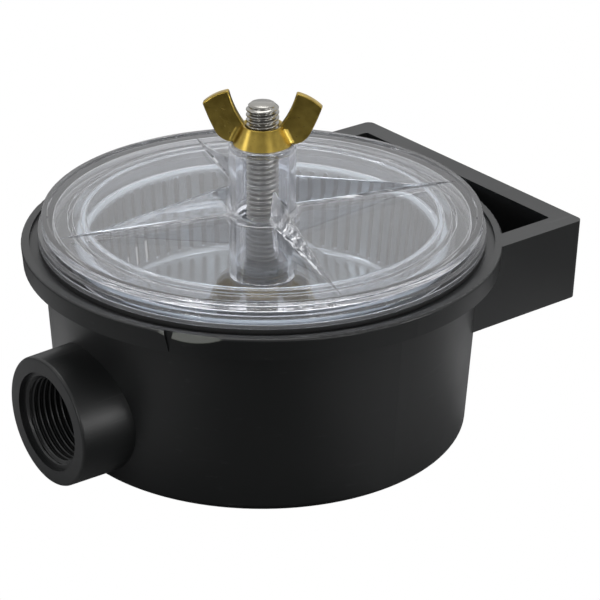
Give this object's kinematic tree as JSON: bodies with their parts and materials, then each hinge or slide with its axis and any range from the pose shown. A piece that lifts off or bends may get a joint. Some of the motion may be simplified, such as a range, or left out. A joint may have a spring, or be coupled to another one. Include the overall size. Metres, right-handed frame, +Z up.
{
  "type": "water strainer",
  "caption": "Raw-water strainer with a moulded housing, clear lid, slotted basket, wing nut on a centre stud, two side ports and a mounting bracket",
  "frame": {"origin": "centre of the housing's flat bottom", "axes": "origin at the centre of the housing's flat bottom; +Z up the stud, +Y towards the bracket's back plate, inlet along -Y, outlet along -X"},
  "size_m": [0.1457, 0.1571, 0.1017],
  "materials": {
    "housing": "moulded glass-filled nylon, near black, semi-matt",
    "basket": "pressed stainless sheet",
    "lid": "clear moulded polycarbonate, polished",
    "seals": "black nitrile rubber",
    "stud": "bright rolled stainless thread",
    "wing_nut": "forged brass, slightly dull"
  },
  "bodies": {
    "housing_body": {"housing": "housing", "bracket": "housing", "inlet_port": "housing", "outlet_port": "housing", "post": "housing", "channel": "housing", "lid_gasket": "seals", "centre_seal": "seals", "stud": "stud"},
    "basket_body": {"basket": "basket"},
    "lid_body": {"lid": "lid"},
    "wing_nut_body": {"wing_nut": "wing_nut"}
  },
  "joints": [
    {"name": "basket_lift", "type": "slide", "parent": "housing_body", "child": "basket_body", "axis": [0, 0, 1], "range_m": [0, 0.075]},
    {"name": "lid_lift", "type": "slide", "parent": "basket_body", "child": "lid_body", "axis": [0, 0, 1], "range_m": [0, 0.07]},
    {"name": "wing_nut_turn", "type": "hinge", "parent": "lid_body", "child": "wing_nut_body", "pos_m": [0, 0, 0.0863], "axis": [0, 0, 1], "range_deg": [0, 2700]}
  ]
}
